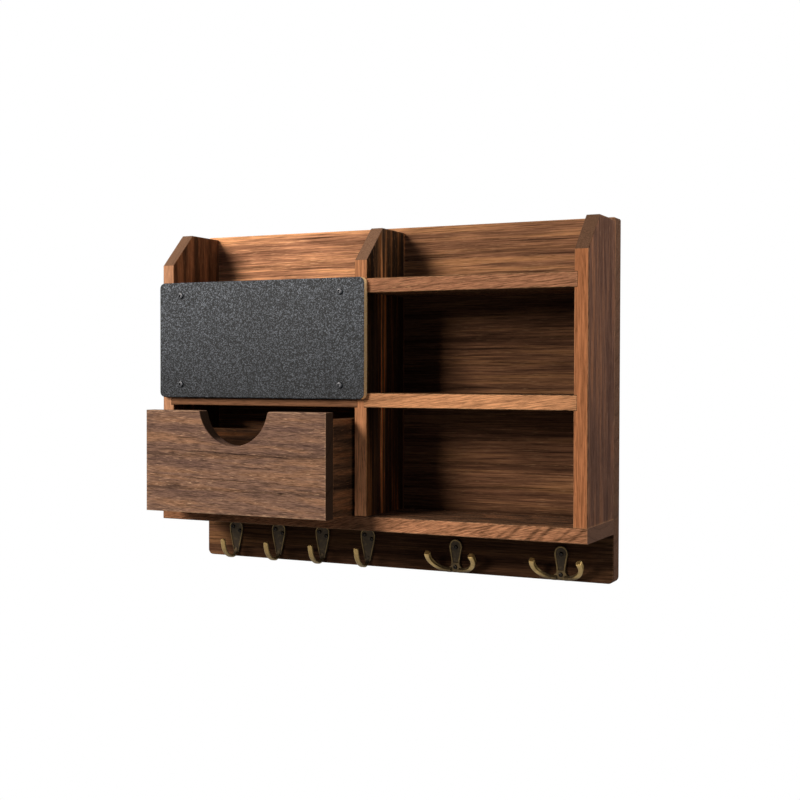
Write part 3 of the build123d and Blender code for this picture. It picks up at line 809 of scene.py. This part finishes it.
for board, ownLook in boards.items():
    look = {**wood, **ownLook}
    body = "drawer" if board.startswith("drawer") else "case"
    material = torchedPine("torchedPine_" + board, board, look)
    addPiece(easedBoard(board, look["ease"]), material, board, body)
print("boards made:", len(boards))

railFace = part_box("single_hook_1")[1].y
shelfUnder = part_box("bottom_shelf")[0].z
screwMaster = crossScrew("hookScrewMaster", hookScrew)
hookKinds = (("single", 4, singleHook, singleHookArm), ("double", 2, doubleHook, doubleHookArms))
for kind, count, look, arms in hookKinds:
    brass = antiqueBrass(
        f"antiqueBrass{kind.title()}Casting", railFace / mm, shelfUnder / mm, look, brassFinish
    )
    master = cast(hookPlate(look), arms(look), kind + "HookMaster", look)
    seat = railFace - (look["plate"] - look["recess"]) * mm
    for i in range(1, count + 1):
        node = f"{kind}_hook_{i}"
        low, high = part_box(node)
        middle = (low.x + high.x) / 2
        hook = place(master, f"{kind}Hook_{i}", (middle, railFace, shelfUnder))
        addPiece(hook, brass, node)
        for j, (across, drop, lift) in enumerate(look["screws"], 1):
            at = (middle + across * mm, seat - lift * mm, shelfUnder - drop * mm)
            screw = place(screwMaster, f"{kind}HookScrew_{i}_{j}", at)
            addPiece(screw, blackOxide, kind + "_hook_screws")
    print(kind, "hooks cast:", count, "with", len(master.data.polygons), "faces each")
    scrap(master)
scrap(screwMaster)

# Chalkboard: a thin fibreboard panel with round corners and a rubbed front edge
chalkboardPanel = {"corner": 5.0, "frontEdge": 0.9, "screwEdge": 2.8}


def chalkboardSheet(look):
    low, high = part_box("chalkboard")
    startOver()
    bpy.ops.mesh.primitive_cube_add(size=1, location=(low + high) / 2)
    sheet = bpy.context.object
    sheet.name = sheet.data.name = "chalkboardPanel"
    sheet.scale = high - low
    settle(sheet)
    pick(sheet, "EDGE", lambda a, b: abs(a.y - b.y) > 1)
    bpy.ops.mesh.bevel(offset=look["corner"] * mm, segments=8, affect="EDGES")
    front = low.y / mm
    pick(sheet, "EDGE", lambda a, b: abs(a.y - front) < touching and abs(b.y - front) < touching)
    bpy.ops.mesh.bevel(offset=look["frontEdge"] * mm, segments=3, affect="EDGES")
    closeMesh(sheet)
    bpy.ops.object.shade_smooth_by_angle(angle=eased)
    applyModifier(sheet, "WEIGHTED_NORMAL", {"keep_sharp": True})
    return sheet


# Blackboard coating sprayed on fibreboard: pale grit in a dark bluish film with a painted sheen towards the
# top, brown pressed fibres at the edge painted paler as a highlight
chalkFilm = {
    "grit": 0.7, "cloud": 60.0,  # mm
    "cloudTone": (0.88, 1.1), "dust": (0.6, 1.26),  # brightness
    "colours": [(0.0, "#07090b"), (0.6, "#1d2227"), (1.0, "#6c737d")],
    "filmDepth": 0.35, "filmFade": 0.2, "fibre": 1.2,  # mm
    "core": [(0.35, "#f0bf80"), (0.65, "#ffdca6")],
    "roughness": (0.5, 0.85), "specular": 0.15, "relief": (0.15, 0.1),
}


def blackboardCoating(name, board, look):
    low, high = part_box(board)
    material, tree = newMaterial(name)
    inMm = objectMm(tree)
    axes = xyz(tree, inMm)
    grit = addNode(tree, "ShaderNodeTexVoronoi", {"Scale": 1 / look["grit"], "Vector": inMm})
    grain = xyz(tree, grit.outputs["Color"])[0]  # each grain its own grey
    film = ramp(tree, grain, [(at, linear(tint)) for at, tint in look["colours"]])
    cloudTone = ranged(tree, noise(tree, inMm, look["cloud"], 2.0), 0.3, 0.7, *look["cloudTone"])
    # lighter towards the top, a painted sheen of the softbox on the coating
    dust = ranged(tree, axes[2], low.z / mm, high.z / mm, *look["dust"])
    clouded = scaled(tree, film, calc(tree, "MULTIPLY", cloudTone, dust))
    # the bare core is set far paler than its fibres are, a painted highlight on the sawn edge
    core = ramp(
        tree, noise(tree, inMm, look["fibre"], 3.0), [(at, linear(tint)) for at, tint in look["core"]]
    )
    filmEnd = low.y / mm + look["filmDepth"]
    pastFilm = ranged(tree, axes[1], filmEnd - look["filmFade"], filmEnd + look["filmFade"])
    # the sawn right edge stays bare, the other edges are sprayed over
    sawn = dot(tree, surfaceNormal(tree), (1, 0, 0))
    coreMask = calc(tree, "MULTIPLY", pastFilm, ranged(tree, sawn, 0.2, 0.4))
    rough = ranged(tree, coreMask, 0.0, 1.0, *look["roughness"])
    settings = {"Specular IOR Level": look["specular"]}
    surface(tree, mixed(tree, coreMask, clouded, core), rough, (*look["relief"], grain), settings)
    return material


coating = blackboardCoating("blackboardCoating", "chalkboard", chalkFilm)
addPiece(chalkboardSheet(chalkboardPanel), coating, "chalkboard")

# Board and case screws, at the places that the frame's boxes give
boardScrewMaster = crossScrew("boardScrewMaster", boardScrew)
low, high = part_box("chalkboard_screws")
edge = chalkboardPanel["screwEdge"] * mm
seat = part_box("chalkboard")[0].y
corners = [(x, z) for x in (low.x + edge, high.x - edge) for z in (low.z + edge, high.z - edge)]
for i, (x, z) in enumerate(corners, 1):
    screw = place(boardScrewMaster, f"chalkboardScrew_{i}", (x, seat, z))
    addPiece(screw, litBlackOxide, "chalkboard_screws")
scrap(boardScrewMaster)
print("chalkboard and", len(corners), "screws made")

woodScrewMaster = crossScrew("woodScrewMaster", woodScrew)
edge = woodScrew["profile"][0][0] * mm
dividerMiddle = sum(corner.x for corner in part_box("divider")) / 2
for node, turn in (("back_screws", math.pi), ("bottom_screws", math.pi / 2)):
    low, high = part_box(node)
    across = (low.x + edge, dividerMiddle, high.x - edge)
    if node == "back_screws":
        middle = (low.z + high.z) / 2
        places = [(x, high.y, z) for x in across for z in (low.z + edge, middle, high.z - edge)]
    else:
        places = [(x, y, low.z) for x in across for y in (low.y + edge, high.y - edge)]
    for i, at in enumerate(places, 1):
        screw = place(woodScrewMaster, node.replace("_screws", "Screw_") + str(i), at, turn)
        addPiece(screw, zinc, node)
    print(node, "made:", len(places))
scrap(woodScrewMaster)

# Studio: a tall narrow softbox in front on the left, a weak panel far round to the right, low fill all round
studio = {
    "key": {"from": (-33, 23), "distance": 2.0, "size": (0.64, 0.93), "power": 51.0, "colour": "#fff4e8"},
    "side": {"from": (98, 25), "distance": 0.7, "size": (0.4, 0.5), "power": 3.3, "colour": "#ffffff"},
    "fill": "#e4ebf6", "fillStrength": 0.095,
    "aim": (0.0, -0.05, -0.11),
}


def softbox(name, look):
    side, up = (math.radians(a) for a in look["from"])
    aim = Vector(studio["aim"])
    away = Vector((math.sin(side) * math.cos(up), -math.cos(side) * math.cos(up), math.sin(up)))
    startOver()
    bpy.ops.object.light_add(type="AREA", location=aim + away * look["distance"])
    lamp = bpy.context.object
    lamp.name = name
    lamp.data.shape = "RECTANGLE"
    lamp.data.size, lamp.data.size_y = look["size"]
    lamp.data.energy = look["power"]
    lamp.data.color = linear(look["colour"])[:3]
    lamp.rotation_euler = (-away).to_track_quat("-Z", "Y").to_euler()


softbox("keySoftbox", studio["key"])
softbox("sidePanel", studio["side"])


def seenPlainly(tree):  # what the camera sees, also in metal or through glass
    rays = addNode(tree, "ShaderNodeLightPath", {}).outputs
    mirrored = calc(tree, "MAXIMUM", rays["Is Camera Ray"], rays["Is Glossy Ray"])
    return calc(tree, "MAXIMUM", mirrored, rays["Is Transmission Ray"])


def shaderMix(tree, factor, first, second):
    values = {0: factor, 1: first.outputs[0], 2: second.outputs[0]}
    return addNode(tree, "ShaderNodeMixShader", values).outputs[0]


world = bpy.data.worlds.new("whiteStudio")
bpy.context.scene.world = world
world.use_nodes = True
tree = world.node_tree
tree.nodes.clear()
fillLight = {"Color": linear(studio["fill"]), "Strength": studio["fillStrength"]}
fill = addNode(tree, "ShaderNodeBackground", fillLight)
backdrop = addNode(tree, "ShaderNodeBackground", {"Color": grey(1.0), "Strength": 1.0})
sky = shaderMix(tree, seenPlainly(tree), fill, backdrop)
addNode(tree, "ShaderNodeOutputWorld", {"Surface": sky})

# Floor: matt white paint washed with light, with a little of the paint left for shadows. A case like this
# hangs at about eye height.
studioFloor = {"side": 4.0, "below": 1.5, "washed": 0.85}  # m, m, share
startOver()
bpy.ops.mesh.primitive_plane_add(size=studioFloor["side"], location=(0, 0, -studioFloor["below"]))
floor = bpy.context.object
floor.name = "studioFloor"
floorPaint, tree = newMaterial("mattWhitePaint")
matt = addNode(tree, "ShaderNodeBsdfPrincipled", {"Base Color": linear("#eeeeec"), "Roughness": 0.9})
washed = addNode(tree, "ShaderNodeEmission", {"Color": linear("#ffffff"), "Strength": 1.0})
share = calc(tree, "MULTIPLY", seenPlainly(tree), studioFloor["washed"])
addNode(tree, "ShaderNodeOutputMaterial", {"Surface": shaderMix(tree, share, matt, washed)})
dress(floor, floorPaint)

photoCamera = {
    "lens": 57.62, "sensor": 36.0, "place": (0.50725, -1.05470, -0.10651),
    "yaw": 25.83, "pitch": -1.152, "roll": 0.16,
}
bpy.ops.object.camera_add(location=photoCamera["place"])
camera = bpy.context.object
yaw, pitch, roll = (math.radians(photoCamera[k]) for k in ("yaw", "pitch", "roll"))
raised = Matrix.Rotation(math.pi / 2 + pitch, 3, "X")
aimed = Matrix.Rotation(yaw, 3, "Z") @ raised @ Matrix.Rotation(roll, 3, "Z")
camera.rotation_euler = aimed.to_euler()
camera.data.lens = photoCamera["lens"]
camera.data.sensor_width = photoCamera["sensor"]
bpy.context.scene.camera = camera
bpy.context.scene.view_settings.view_transform = "Standard"
print("studio and camera set")
